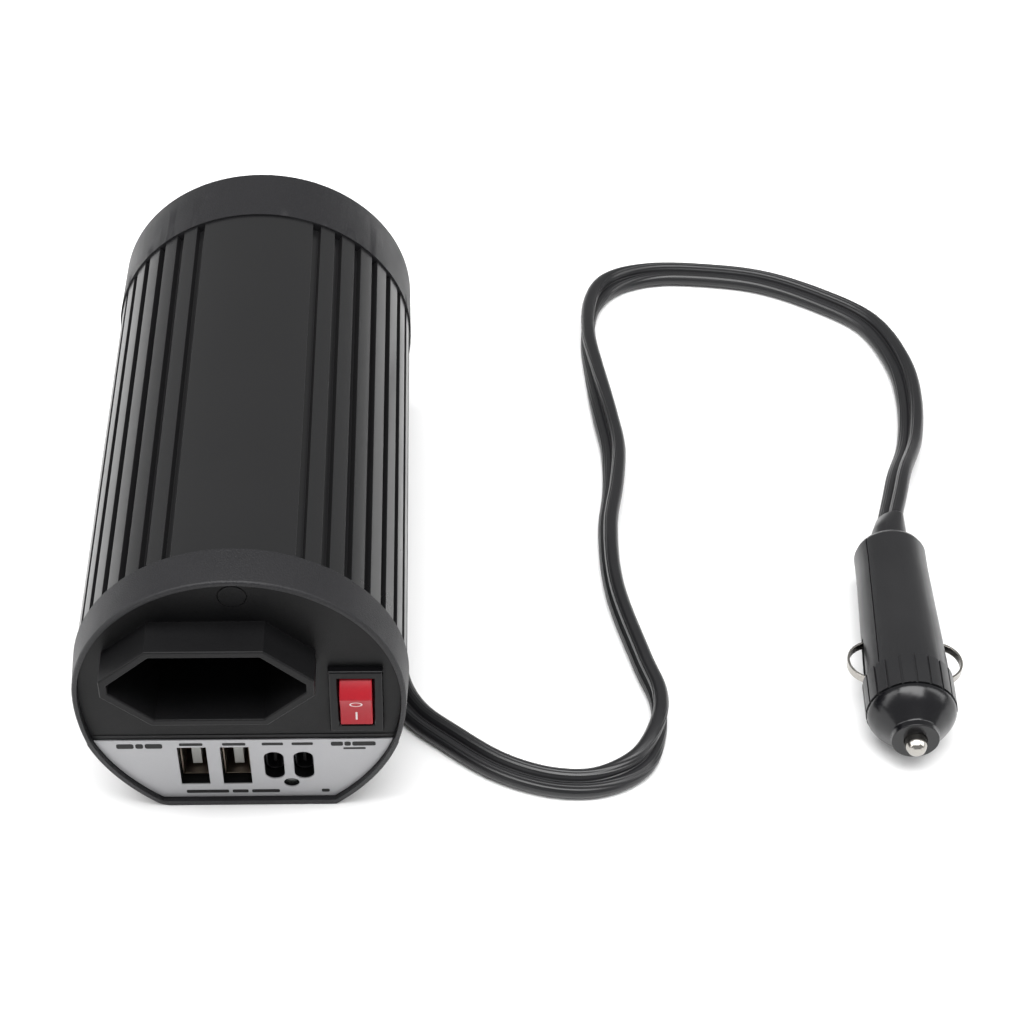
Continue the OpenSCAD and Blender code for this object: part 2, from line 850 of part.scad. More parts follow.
module cord() {
    n = len(ROUTE);
    steps = 2;
    samples = [for (i = [0 : n - 2]) for (k = [0 : steps - 1]) route_at(i, k / steps)];
    all = concat(samples, [ROUTE[n - 1]]);
    pts = [for (q = all) route_point(q)];
    m = len(pts);
    first = unit([0, 1, 0]);
    last = unit([-sin(plug_yaw + boot_bend), -cos(plug_yaw + boot_bend), 0]);
    tangents = [for (i = [0 : m - 1])
        i == 0 ? first : i == m - 1 ? last : unit(pts[i + 1] - pts[i - 1])];
    rings = [for (i = [0 : m - 1]) ring_at(pts[i], tangents[i], all[i][3])];
    k = len(SECTION);
    verts = [for (r = rings) for (p = r) p];
    walls = [for (i = [0 : m - 2]) for (j = [0 : k - 1])
        let (a = i * k + j, b = i * k + (j + 1) % k)
        each [[a, b, a + k], [b, b + k, a + k]]];
    cap_a = [for (j = [1 : k - 2]) [0, j + 1, j]];
    cap_b = [for (j = [1 : k - 2]) [(m - 1) * k, (m - 1) * k + j, (m - 1) * k + j + 1]];
    color("#131315") polyhedron(points = verts, faces = concat(walls, cap_a, cap_b));
}

// ---- 12 V plug ----

// Local frame of the plug: origin at the barrel's back end, nose toward -Y
module on_plug() {
    translate([plug_x, plug_y, plug_z]) rotate([0, 0, -plug_yaw]) children();
}

// Turned shape about the plug's axis; profile points are [radius, distance to the nose]
module turned(profile) {
    rotate([90, 0, 0]) rotate_extrude($fn = round_fn) polygon(profile);
}

module plug_boot() {
    color("#1a1a1c")
    on_plug() {
        turned([[0, -0.4], [3, -0.4], [3, 1.6], [4.6, 1.6], [4.6, 4.6], [0, 4.6]]);
        rotate([0, 0, -boot_bend]) difference() {
            hull() {
                turned([[0, 3], [boot_r, 3], [boot_r, -4.6], [boot_r - 0.4, -6.4], [0, -6.4]]);
                translate([0, boot_l - 0.1, 0]) rotate([0, lead_roll - 180, 0])
                    rotate([90, 0, 0]) scale([lead_w / 2 + 0.35, lead_t / 2 + 0.55, 1])
                        cylinder(r = 1, h = 0.2, center = true, $fn = small_fn);
            }
            rotate([0, 0, boot_bend]) translate([-10, -30, -10]) cube([20, 30, 20]);
        }
    }
}

module barrel_half(s) {
    color("#1b1b1d")
    difference() {
        union() {
            turned([
                [0, 0], [5.4, 0], [6.5, 0.4], [7.3, 1.1], [barrel_r0, 2.2], [barrel_r0, 8],
                [barrel_r1, barrel_l], [0, barrel_l]
            ]);
            turned([
                [5.4, barrel_l - 1], [6.2, barrel_l - 1], [6.2, barrel_l + 4],
                [5.4, barrel_l + 4]
            ]);
        }
        turned([[0, -1], [3.1, -1], [3.1, 1.6], [0, 1.6]]);
        turned([[0, 1.5], [4.7, 1.5], [4.7, 4.7], [0, 4.7]]);
        turned([[0, 4.6], [5.4, 4.6], [5.4, barrel_l + 5], [0, barrel_l + 5]]);
        rotate([0, seam_turn, 0])
            translate([s * (seam_gap / 2 - 10) - 10, -60, -20]) cube([20, 80, 40]);
        translate([s * 8 - 3, leaf_y - leaf_r - 0.4, -leaf_h / 2 - 0.4])
            cube([6, 2 * leaf_r + 0.8, leaf_h + 0.8]);
    }
}

module plug_shell_left() {
    on_plug() barrel_half(-1);
}

module plug_shell_right() {
    on_plug() barrel_half(1);
}

module plug_ring() {
    flutes = 20;
    color("#161618")
    on_plug() difference() {
        turned([
            [6.3, barrel_l + 0.2], [ring_r, barrel_l + 0.2], [ring_r, barrel_l + ring_l - 0.1],
            [6.3, barrel_l + ring_l - 0.1]
        ]);
        for (i = [0 : flutes - 1]) {
            rotate([0, i * 360 / flutes, 0]) translate([ring_r, -barrel_l - ring_l / 2, 0])
                cube([0.6, ring_l + 2, 0.5], center = true);
        }
    }
}

module plug_nose() {
    y0 = barrel_l + ring_l;
    y1 = y0 + dome_l;
    y2 = y1 + collar_l;
    color("#0d0d0f")
    on_plug() difference() {
        turned([
            [0, y0 - 2.6], [6.1, y0 - 2.6], [6.1, y0],
            [ring_r - 0.2, y0 + 0.1], [ring_r - 0.3, y0 + 1], [ring_r - 0.8, y0 + 2],
            [ring_r - 1.7, y0 + 3.3], [6.4, y0 + 4.7], [5.5, y0 + 5.7], [dome_r, y1],
            [dome_r, y2], [0, y2]
        ]);
        turned([[0, y0 - 4], [tip_r + 0.05, y0 - 4], [tip_r + 0.05, y2 + 1], [0, y2 + 1]]);
        turned([[0, y0 - 4], [3.6, y0 - 4], [3.6, y0 + 1.6], [0, y0 + 1.6]]);
    }
}

module plug_tip() {
    y0 = barrel_l + ring_l;
    y2 = y0 + dome_l + collar_l;
    color("#c9ccd0")
    on_plug() turned([
        [0, y0], [3.4, y0], [3.4, y0 + 1.5], [tip_r, y0 + 1.5], [tip_r, y2 + tip_out - 1.8],
        [1.7, y2 + tip_out - 0.5], [0.9, y2 + tip_out], [0, y2 + tip_out]
    ]);
}

module tip_spring() {
    y0 = barrel_l + ring_l - 8;
    y1 = barrel_l + ring_l - 0.1;
    color("#b5b8bc")
    on_plug() turned([[2, y0], [3, y0], [3, y1], [2, y1]]);
}

module fuse() {
    y1 = barrel_l + ring_l - 8.2;
    y0 = y1 - fuse_l;
    color("#d9dcd8")
    on_plug() {
        turned([
            [0, y0], [fuse_r, y0], [fuse_r, y0 + 6], [fuse_r - 0.3, y0 + 6],
            [fuse_r - 0.3, y1 - 6], [fuse_r, y1 - 6], [fuse_r, y1], [0, y1]
        ]);
    }
}

// Bowed leaf spring beside the barrel
module plug_contact(s) {
    color("#c4c7cb")
    on_plug() intersection() {
        translate([s * (spring_span - leaf_r), leaf_y, 0]) difference() {
            cylinder(r = leaf_r, h = leaf_h, center = true, $fn = round_fn);
            cylinder(r = leaf_r - leaf_t, h = 5, center = true, $fn = round_fn);
        }
        translate([s > 0 ? 6.1 : -6.1 - 8, leaf_y - 9, -3]) cube([8, 18, 6]);
    }
}

module plug_contact_left() plug_contact(-1);
module plug_contact_right() plug_contact(1);

tube();
front_bezel();
front_panel();
port_label();
panel_cover();
rear_cap();
socket_insert();
socket_contact_left();
socket_contact_right();
switch_housing();
switch_rocker();
switch_terminals();
usb_a_shell_1();
usb_a_shell_2();
usb_a_tongue_1();
usb_a_tongue_2();
usb_c_shell_1();
usb_c_shell_2();
usb_c_tongue_1();
usb_c_tongue_2();
status_led();
port_board();
main_board();
transformer_core();
transformer_winding();
input_capacitors();
output_capacitor();
choke();
power_transistors();
heat_bar();
fan_frame();
fan_rotor();
fan_screws();
front_screws();
rear_screws();
cord_relief();
cord();
plug_boot();
plug_shell_left();
plug_shell_right();
plug_ring();
plug_nose();
plug_tip();
tip_spring();
fuse();
plug_contact_left();
plug_contact_right();
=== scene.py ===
"""Looks of the pocket power inverter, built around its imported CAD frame. Metres."""

import json
import math

import bmesh
import bpy
from mathutils import Matrix, Vector


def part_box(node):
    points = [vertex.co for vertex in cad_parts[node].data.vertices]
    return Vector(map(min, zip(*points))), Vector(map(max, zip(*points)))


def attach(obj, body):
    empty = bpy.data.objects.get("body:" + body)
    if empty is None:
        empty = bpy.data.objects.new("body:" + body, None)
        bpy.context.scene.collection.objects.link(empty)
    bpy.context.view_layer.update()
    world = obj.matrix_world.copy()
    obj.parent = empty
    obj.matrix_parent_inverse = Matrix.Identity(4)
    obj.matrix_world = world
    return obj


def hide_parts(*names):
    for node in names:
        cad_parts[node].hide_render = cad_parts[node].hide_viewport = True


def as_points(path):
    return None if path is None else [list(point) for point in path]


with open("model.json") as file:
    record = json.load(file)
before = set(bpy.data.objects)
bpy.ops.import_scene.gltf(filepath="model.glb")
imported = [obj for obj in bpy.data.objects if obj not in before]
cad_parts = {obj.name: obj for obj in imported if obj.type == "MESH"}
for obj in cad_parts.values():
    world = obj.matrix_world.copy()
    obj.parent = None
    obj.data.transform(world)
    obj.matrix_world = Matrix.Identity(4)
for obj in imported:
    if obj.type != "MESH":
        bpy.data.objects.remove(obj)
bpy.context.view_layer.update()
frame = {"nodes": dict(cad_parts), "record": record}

MM = 0.001
RECORD = frame["record"]
BODY_OF = {n: body for body, nodes in RECORD["behaviour"]["bodies"].items() for n in nodes}
SLOT_OF = {part["node"]: part["material_slot"] for part in RECORD["subparts"]}


# ---- camera ----

CAMERA_AT = Vector((0.03768, -0.38911, 0.38887))
CAMERA_YAW = 0.0420
CAMERA_PITCH = 0.7490
CAMERA_ROLL = 0.0230
LENS = 88.08


def make_camera():
    forward = Vector((
        math.sin(CAMERA_YAW) * math.cos(CAMERA_PITCH),
        math.cos(CAMERA_YAW) * math.cos(CAMERA_PITCH),
        -math.sin(CAMERA_PITCH),
    ))
    level = Vector((math.cos(CAMERA_YAW), -math.sin(CAMERA_YAW), 0))
    upright = level.cross(forward)
    right = level * math.cos(CAMERA_ROLL) + upright * math.sin(CAMERA_ROLL)
    up = upright * math.cos(CAMERA_ROLL) - level * math.sin(CAMERA_ROLL)
    camera = bpy.data.objects.new("camera", bpy.data.cameras.new("camera"))
    bpy.context.collection.objects.link(camera)
    axes = Matrix((right, up, -forward)).transposed().to_4x4()
    camera.matrix_world = Matrix.Translation(CAMERA_AT) @ axes
    camera.data.lens = LENS
    camera.data.sensor_width = 36
    camera.data.clip_start = 0.02
    camera.data.clip_end = 20
    bpy.context.scene.camera = camera


make_camera()


# ---- materials ----

def material(name, colour, rough, metallic=0.0, grain=0.0, grain_size=0.4 * MM, smudge=0.06,
             smudge_size=14 * MM, shade=0.12, **sockets):
    """A principled surface whose roughness drifts with handling, with a fine moulded or cast grain."""
    made = bpy.data.materials.new(name)
    made.use_nodes = True
    nodes, links = made.node_tree.nodes, made.node_tree.links
    shader = nodes["Principled BSDF"]
    shader.inputs["Metallic"].default_value = metallic
    for socket, value in sockets.items():
        shader.inputs[socket.replace("_", " ")].default_value = value
    place = nodes.new("ShaderNodeTexCoord")

    drift = nodes.new("ShaderNodeTexNoise")
    drift.inputs["Scale"].default_value = 1 / smudge_size
    drift.inputs["Detail"].default_value = 4
    links.new(place.outputs["Object"], drift.inputs["Vector"])
    to_rough = nodes.new("ShaderNodeMapRange")
    to_rough.inputs["From Min"].default_value = 0.3
    to_rough.inputs["From Max"].default_value = 0.7
    to_rough.inputs["To Min"].default_value = max(rough - smudge, 0.02)
    to_rough.inputs["To Max"].default_value = rough + smudge
    links.new(drift.outputs["Fac"], to_rough.inputs["Value"])
    links.new(to_rough.outputs["Result"], shader.inputs["Roughness"])

    fine = nodes.new("ShaderNodeTexNoise")
    fine.inputs["Scale"].default_value = 1 / grain_size
    fine.inputs["Detail"].default_value = 3
    links.new(place.outputs["Object"], fine.inputs["Vector"])
    tint = nodes.new("ShaderNodeMix")
    tint.data_type = "RGBA"
    tint.inputs[6].default_value = (*[c * (1 - shade) for c in colour], 1)
    tint.inputs[7].default_value = (*[min(c * (1 + shade), 1) for c in colour], 1)
    links.new(fine.outputs["Fac"], tint.inputs[0])
    links.new(tint.outputs[2], shader.inputs["Base Color"])
    if grain:
        bump = nodes.new("ShaderNodeBump")
        bump.inputs["Strength"].default_value = 1.0
        bump.inputs["Distance"].default_value = grain * MM
        links.new(fine.outputs["Fac"], bump.inputs["Height"])
        links.new(bump.outputs["Normal"], shader.inputs["Normal"])
    return made


LOOKS = {
    "anodised_tube": material("anodised_tube", (0.009, 0.009, 0.0095), 0.3, Specular_IOR_Level=0.42,
                              smudge=0.03, smudge_size=30 * MM),
    "cap_plastic": material("cap_plastic", (0.0092, 0.009, 0.0104), 0.5, grain=0.09,
                            grain_size=0.32 * MM, shade=0.5, Specular_IOR_Level=0.34),
    "panel_plastic": material("panel_plastic", (0.0042, 0.0042, 0.0046), 0.45, grain=0.03,
                              grain_size=0.32 * MM, shade=0.4, Specular_IOR_Level=0.16),
    "label_face": material("label_face", (0.325, 0.325, 0.335), 0.4, metallic=0.2, grain=0.004, shade=0.03),
    "insert_plastic": material("insert_plastic", (0.004, 0.004, 0.004), 0.5, grain=0.02,
                               Specular_IOR_Level=0.2),
    "brass": material("brass", (0.72, 0.5, 0.2), 0.3, metallic=1.0, grain=0.004),
    "switch_black": material("switch_black", (0.0035, 0.0035, 0.004), 0.24, smudge=0.04,
                             Specular_IOR_Level=0.16),
    "rocker_red": material("rocker_red", (0.32, 0.012, 0.02), 0.42, smudge=0.05, shade=0.1,
                           Specular_IOR_Level=0.15, Subsurface_Weight=0.12, Subsurface_Scale=0.001),
    "tinned_metal": material("tinned_metal", (0.6, 0.6, 0.6), 0.35, metallic=1.0, grain=0.006),
    "port_shell": material("port_shell", (0.24, 0.20, 0.165), 0.36, metallic=1.0, grain=0.003),
    "port_shell_dark": material("port_shell_dark", (0.05, 0.05, 0.053), 0.34, metallic=0.8, grain=0.003),
    "port_tongue": material("port_tongue", (0.42, 0.42, 0.40), 0.5, grain=0.006, shade=0.05),
    "led_lens": material("led_lens", (0.02, 0.022, 0.02), 0.15, smudge=0.03, Coat_Weight=0.5),
    "circuit_board": material("circuit_board", (0.012, 0.12, 0.035), 0.35, grain=0.01),
    "ferrite": material("ferrite", (0.03, 0.03, 0.033), 0.6, grain=0.05),
    "winding_tape": material("winding_tape", (0.62, 0.40, 0.05), 0.3, grain=0.01),
    "capacitor_sleeve": material("capacitor_sleeve", (0.02, 0.03, 0.12), 0.3, grain=0.005),
    "copper_wire": material("copper_wire", (0.65, 0.26, 0.08), 0.3, metallic=0.9, grain=0.01),
    "bare_aluminium": material("bare_aluminium", (0.55, 0.56, 0.57), 0.38, metallic=1.0, grain=0.008),
    "fan_plastic": material("fan_plastic", (0.012, 0.012, 0.013), 0.4, grain=0.02),
    "screw_black": material("screw_black", (0.03, 0.03, 0.032), 0.38, metallic=0.8, grain=0.006),
    "lead_rubber": material("lead_rubber", (0.008, 0.008, 0.009), 0.34, grain=0.006, grain_size=0.5 * MM),
    "plug_plastic": material("plug_plastic", (0.010, 0.010, 0.011), 0.36, grain=0.006, grain_size=0.3 * MM),
    "plug_gloss": material("plug_gloss", (0.004, 0.004, 0.005), 0.22, smudge=0.03, Specular_IOR_Level=0.4),
    "nickel": material("nickel", (0.36, 0.345, 0.32), 0.24, metallic=1.0, smudge=0.05, grain=0.002),
    "mark_white": material("mark_white", (0.62, 0.55, 0.55), 0.5, shade=0.03),
    "fuse_glass": material("fuse_glass", (0.8, 0.82, 0.82), 0.1, smudge=0.03, Transmission_Weight=0.6),
}

for node, shown in frame["nodes"].items():
    shown.data.materials.clear()
    shown.data.materials.append(LOOKS[SLOT_OF[node]])


def new_piece(name, mesh, body, look, slot=None):
    piece = bpy.data.objects.new(name, mesh)
    mesh.materials.clear()
    mesh.materials.append(LOOKS[look])
    bpy.context.collection.objects.link(piece)
    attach(piece, body)
    slot or look
    return piece


# ---- lead ----

LOBE_R = 0.00165
LOBE_X = 0.0016
WEB_HALF = 0.0007
RIB_DEPTH = 0.00014
RIBS = 14
ROUTE = [
    (-0.008, 0.0892, 0.0068, 180), (-0.008, 0.095, 0.0062, 180), (-0.003, 0.107, 0.0044, 180),
    (0.010, 0.1125, 0.002, 180), (0.0225, 0.107, 0.0005, 180), (0.028, 0.094, 0, 180),
    (0.028, 0.072, 0, 180), (0.028, 0.048, 0, 180), (0.028, 0.024, 0, 180), (0.028, 0.004, 0, 180),
    (0.028, -0.012, 0, 180), (0.029, -0.0245, 0, 180), (0.033, -0.034, 0, 178),
    (0.0405, -0.0415, 0, 175), (0.0505, -0.0495, 0, 172), (0.061, -0.0538, 0, 170),
    (0.071, -0.054, 0, 165), (0.0795, -0.0495, 0, 135), (0.0835, -0.041, 0, 100),
    (0.0843, -0.032, 0, 82), (0.0815, -0.021, 0, 78), (0.077, 0, 0, 76), (0.0765, 0.019, 0, 70),
    (0.0785, 0.034, 0, 60), (0.0792, 0.047, 0, 42), (0.078, 0.059, 0, 38), (0.0763, 0.074, 0, 65),
    (0.0753, 0.088, 0, 88), (0.077, 0.101, 0, 105), (0.0825, 0.110, 0, 140), (0.0925, 0.1145, 0, 165),
    (0.105, 0.1145, 0, 170), (0.120, 0.1115, 0, 168), (0.134, 0.1038, 0, 165), (0.145, 0.094, 0, 162),
    (0.1503, 0.079, 0, 155), (0.151, 0.064, 0, 145), (0.1486, 0.048, 0.0008, 138),
    (0.1438, 0.0335, 0.0042, 134), (0.1412, 0.024, 0.0056, 133), (0.1388, 0.0155, 0.0065, 132),
]
STEPS = 10
RELIEF_AT = Vector((-0.008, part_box("rear_cap")[1].y, 0.0085))
BOOT_YAW = math.radians(8.7)


LOBE_POINTS = 40
INTO_RELIEF = 0.001
INTO_BOOT = 0.003


def lobe(side):
    """One round core's outline, anticlockwise, with fine ribs on its flat faces."""
    start = math.asin(WEB_HALF / LOBE_R)
    points = []
    for k in range(LOBE_POINTS + 1):
        turn = start + (2 * math.pi - 2 * start) * k / LOBE_POINTS
        ribbed = abs(math.sin(turn)) ** 2
        radius = LOBE_R - RIB_DEPTH * ribbed * (0.5 - 0.5 * math.cos(turn * 2 * RIBS))
        angle = turn + (math.pi if side > 0 else 0)
        points.append((side * LOBE_X + radius * math.cos(angle), radius * math.sin(angle)))
    return points


LEAD_SECTION = lobe(1) + lobe(-1)


def half_height(roll):
    """How far the lead's section reaches below its centreline at this roll."""
    return max(a * math.sin(roll) - b * math.cos(roll) for a, b in LEAD_SECTION)


def catmull(a, b, c, d, t):
    return [
        0.5 * (2 * q + (r - p) * t + (2 * p - 5 * q + 4 * r - s) * t * t
               + (3 * q - p - 3 * r + s) * t ** 3)
        for p, q, r, s in zip(a, b, c, d)
    ]


def lead_stations():
    """(centre, roll) at even steps along the route."""
    before = [2 * a - b for a, b in zip(ROUTE[0], ROUTE[1])]
    after = [2 * a - b for a, b in zip(ROUTE[-1], ROUTE[-2])]
    points = [before, *ROUTE, after]
    stations = []
    for i in range(len(ROUTE) - 1):
        for k in range(STEPS):
            stations.append(catmull(*points[i:i + 4], k / STEPS))
    stations.append(ROUTE[-1])
    found = []
    for x, y, lift, roll in stations:
        roll = math.radians(roll)
        found.append((Vector((x, y, max(lift, 0) + half_height(roll))), roll))
    inside = found[0][0].copy()
    inside.y = RELIEF_AT.y - INTO_RELIEF
    into_boot = found[-1][0] - Vector((math.sin(BOOT_YAW), math.cos(BOOT_YAW), 0)) * INTO_BOOT
    return [(inside, found[0][1]), *found, (into_boot, found[-1][1])]


def make_lead():
    stations = lead_stations()
    shape = bmesh.new()
    rings = []
    for i, (centre, roll) in enumerate(stations):
        ahead = stations[min(i + 1, len(stations) - 1)][0] - stations[max(i - 1, 0)][0]
        ahead.normalize()
        side = ahead.cross(Vector((0, 0, 1))).normalized()
        up = side.cross(ahead)
        wide = side * math.cos(roll) + up * math.sin(roll)
        thick = ahead.cross(wide)
        rings.append([shape.verts.new(centre + wide * a + thick * b) for a, b in LEAD_SECTION])
    for near, far in zip(rings, rings[1:]):
        for j in range(len(near)):
            k = (j + 1) % len(near)
            shape.faces.new((near[j], near[k], far[k], far[j]))
    shape.faces.new(rings[0][::-1])
    shape.faces.new(rings[-1])
    bmesh.ops.recalc_face_normals(shape, faces=shape.faces)
    mesh = bpy.data.meshes.new("lead")
    shape.to_mesh(mesh)
    shape.free()
    mesh.shade_smooth()
    mesh.set_sharp_from_angle(angle=math.radians(50))
    lead = new_piece("lead", mesh, BODY_OF["cord"], "lead_rubber")
    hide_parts("cord")
    return lead, [list(centre) for centre, _ in stations]


lead, lead_path = make_lead()


# ---- softened copies of the hard CAD pieces ----

WELD = 2e-6
FLAT = math.radians(0.5)
SHARP = math.radians(28)
CREASE = math.radians(42)
ON_PLANE = 0.00002

# how far each kind of edge is rounded off, from thin sheet to moulded rubber
SHEET_EDGE = 0.00006
FILM_EDGE = 0.00008
CUT_EDGE = 0.0001
TURNED_EDGE = 0.00012
MOULDED_EDGE = 0.00015
HANDLED_EDGE = 0.0002
RUBBER_EDGE = 0.0003

# what tells a base corner: longer than, straying less in x than, and further out than
CORNER_LENGTH = 0.005
CORNER_DRIFT = 0.001
CORNER_X = 0.015

SHELLS = ("usb_a_shell_1", "usb_a_shell_2", "usb_c_shell_1", "usb_c_shell_2")


def bevel(shape, edges, width, segments):
    if edges:
        bmesh.ops.bevel(shape, geom=edges, offset=width, offset_type="OFFSET", segments=segments,
                        profile=0.5, affect="EDGES", clamp_overlap=True)


def softened(node, width, rims=(), segments=2, skirt=None):
    """A copy of a CAD node with its edges rounded off. rims are (test of an edge, width, segments).

    skirt is a span along Y where curved walls keep their plain smooth shading.
    """
    mesh = frame["nodes"][node].data.copy()
    shape = bmesh.new()
    shape.from_mesh(mesh)
    bmesh.ops.remove_doubles(shape, verts=shape.verts, dist=WELD)
    bmesh.ops.dissolve_limit(shape, angle_limit=FLAT, verts=shape.verts, edges=shape.edges)
    for test, rim_width, rim_segments in rims:
        shape.normal_update()
        bevel(shape, [e for e in shape.edges if is_sharp(e) and test(e)], rim_width, rim_segments)
    shape.normal_update()
    bevel(shape, [e for e in shape.edges if is_sharp(e)], width, segments)
    shape.to_mesh(mesh)
    shape.free()
    mesh.shade_smooth()
    mesh.set_sharp_from_angle(angle=CREASE)
    piece = new_piece(node + "_soft", mesh, BODY_OF[node], SLOT_OF[node])
    even = piece.modifiers.new("even", "WEIGHTED_NORMAL")
    even.keep_sharp = True
    if skirt:
        ends = piece.vertex_groups.new(name="ends")
        ends.add([v.index for v in mesh.vertices if not skirt[0] < v.co.y < skirt[1]], 1, "REPLACE")
        even.vertex_group = "ends"
    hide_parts(node)
    return piece


def is_sharp(edge):
    return len(edge.link_faces) == 2 and edge.calc_face_angle() > SHARP


def outer_rim(y, centre_z):
    """Test for the outer edge of an end face at y: one side faces along Y, the other away from the middle."""
    def test(edge):
        if any(abs(v.co.y - y) > ON_PLANE for v in edge.verts):
            return False
        middle = (edge.verts[0].co + edge.verts[1].co) / 2
        out = Vector((middle.x, 0, middle.z - centre_z)).normalized()
        normals = [f.normal for f in edge.link_faces]
        return max(abs(n.y) for n in normals) > 0.9 and max(n.dot(out) for n in normals) > 0.6
    return test


def base_corner(edge):
    """Test for the long edges where the flat base meets the flanks."""
    near, far = (v.co for v in edge.verts)
    if (far - near).length <= CORNER_LENGTH or abs(near.x - far.x) >= CORNER_DRIFT:
        return False
    return all(v.co.z < ON_PLANE and abs(v.co.x) > CORNER_X for v in edge.verts)


def at_front(y):
    """Test for an edge that lies in the plane at y."""
    return lambda edge: all(abs(v.co.y - y) < ON_PLANE for v in edge.verts)


fan_low, fan_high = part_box("fan_frame")
crown_z = fan_low.z / 2 + fan_high.z / 2
bezel_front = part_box("front_bezel")[0].y
panel_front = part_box("front_panel")[0].y
housing_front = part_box("switch_housing")[0].y
tube_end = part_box("tube")[1].y
rear_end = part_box("rear_cap")[1].y
# the rear cap's curved wall, from just past the tube's end to just short of the rear face
rear_skirt = (tube_end + 0.0001, rear_end - 0.00001)
base_rim = (base_corner, 0.0016, 5)

softened("tube", CUT_EDGE)
softened("front_bezel", MOULDED_EDGE, rims=[base_rim, (outer_rim(bezel_front, crown_z), 0.0006, 4)])
softened("rear_cap", MOULDED_EDGE, rims=[base_rim, (outer_rim(rear_end, crown_z), 0.0012, 5)],
         skirt=rear_skirt)
softened("front_panel", HANDLED_EDGE, rims=[(at_front(panel_front), 0.00035, 3)])
softened("port_label", FILM_EDGE, segments=1)
softened("panel_cover", MOULDED_EDGE)
softened("switch_housing", MOULDED_EDGE, rims=[(at_front(housing_front), 0.0006, 4)])
softened("switch_rocker", HANDLED_EDGE)
softened("socket_insert", HANDLED_EDGE)
for shell in SHELLS:
    softened(shell, SHEET_EDGE, segments=1)
for shell in SHELLS:
    softened(shell.replace("shell", "tongue"), CUT_EDGE)
for screws in ("fan_screws", "rear_screws"):
    softened(screws, CUT_EDGE)
on_lead = [
    softened("plug_boot", RUBBER_EDGE),
    softened("plug_shell_left", TURNED_EDGE),
    softened("plug_shell_right", TURNED_EDGE),
    softened("plug_ring", TURNED_EDGE),
    softened("plug_nose", HANDLED_EDGE),
    softened("plug_tip", HANDLED_EDGE),
    softened("plug_contact_left", CUT_EDGE),
    softened("plug_contact_right", CUT_EDGE),
    softened("cord_relief", RUBBER_EDGE),
    frame["nodes"]["tip_spring"],
    frame["nodes"]["fuse"],
]
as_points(lead_path)


# ---- printed marks ----

LABEL_TILT = math.radians(8)
label_low, label_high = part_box("port_label")
LABEL_AT = Vector((0, label_low.y, label_high.z))
LABEL_RIGHT = Vector((1, 0, 0))
LABEL_DOWN = Vector((0, math.sin(LABEL_TILT), -math.cos(LABEL_TILT)))
LABEL_OUT = Vector((0, -math.cos(LABEL_TILT), -math.sin(LABEL_TILT)))
INK = 0.00003
OUTLINE_POINTS = 24
RING_POINTS = 40


def printed(name, bars, at, right, down, out, look, body, slot=None):
    """Flat marks standing a hair proud of a face. bars are (x, v, width, height, corner), in millimetres."""
    shape = bmesh.new()
    for x, v, width, height, corner in bars:
        outline = []
        for k in range(OUTLINE_POINTS):
            angle = 2 * math.pi * (k + 0.5) / OUTLINE_POINTS
            cx = math.copysign(width / 2 - corner, math.cos(angle)) + corner * math.cos(angle)
            cy = math.copysign(height / 2 - corner, math.sin(angle)) + corner * math.sin(angle)
            outline.append(at + right * (x + cx) * MM + down * (v + cy) * MM)
        base = [shape.verts.new(p - out * INK) for p in outline]
        face = [shape.verts.new(p + out * INK) for p in outline]
        shape.faces.new(base)
        shape.faces.new(face)
        for j in range(OUTLINE_POINTS):
            k = (j + 1) % OUTLINE_POINTS
            shape.faces.new((base[j], base[k], face[k], face[j]))
    bmesh.ops.recalc_face_normals(shape, faces=shape.faces)
    mesh = bpy.data.meshes.new(name)
    shape.to_mesh(mesh)
    shape.free()
    return new_piece(name, mesh, body, look, slot)


def words(x, v, widths, height, gap):
    """A row of plain bars standing where a line of print would be, starting at x."""
    bars = []
    for width in widths:
        bars.append((x + width / 2, v, width, height, height * 0.3))
        x += width + gap
    return bars


def print_label():
    bars = []
    for shell in SHELLS:
        low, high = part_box(shell)
        middle = (low.x + high.x) / 2 / MM
        width = 4.6 if "usb_a" in shell else 4.2
        bars.append((middle, 1.5, width, 0.9, 0.3))
    bars += words(-12.5, 18.3, [8.5, 3.2, 5.6], 1.1, 0.7)
    bars += words(14.6, 18.3, [1.6], 1.1, 0.7)
    bars += words(-25.0, 2.0, [3.4, 0.4, 3.4], 1.6, 0.9)
    bars += words(17.0, 1.6, [2.4, 0.4, 4.6], 1.4, 0.7)
    bars += words(19.4, 3.2, [4.4], 0.6, 0.5)
    printed("label_print", bars, LABEL_AT, LABEL_RIGHT, LABEL_DOWN, LABEL_OUT, "insert_plastic", "case")


print_label()


# ---- marks on the rocker ----

ROCKER_R = 0.0069
CREST = 0.0046
DISH = 0.00098
ROCKER_TILT = math.radians(13)
ROCKER_PIVOT = next(j["pos_m"] for j in RECORD["behaviour"]["joints"] if j["name"] == "rocker_tilt")


def rocker_point(y, z):
    """A point of the rocker's side profile, measured from its pivot, tilted to its rest position."""
    low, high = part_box("switch_rocker")
    return Vector((
        (low.x + high.x) / 2,
        ROCKER_PIVOT[1] + y * math.cos(ROCKER_TILT) - z * math.sin(ROCKER_TILT),
        ROCKER_PIVOT[2] + y * math.sin(ROCKER_TILT) + z * math.cos(ROCKER_TILT),
    ))


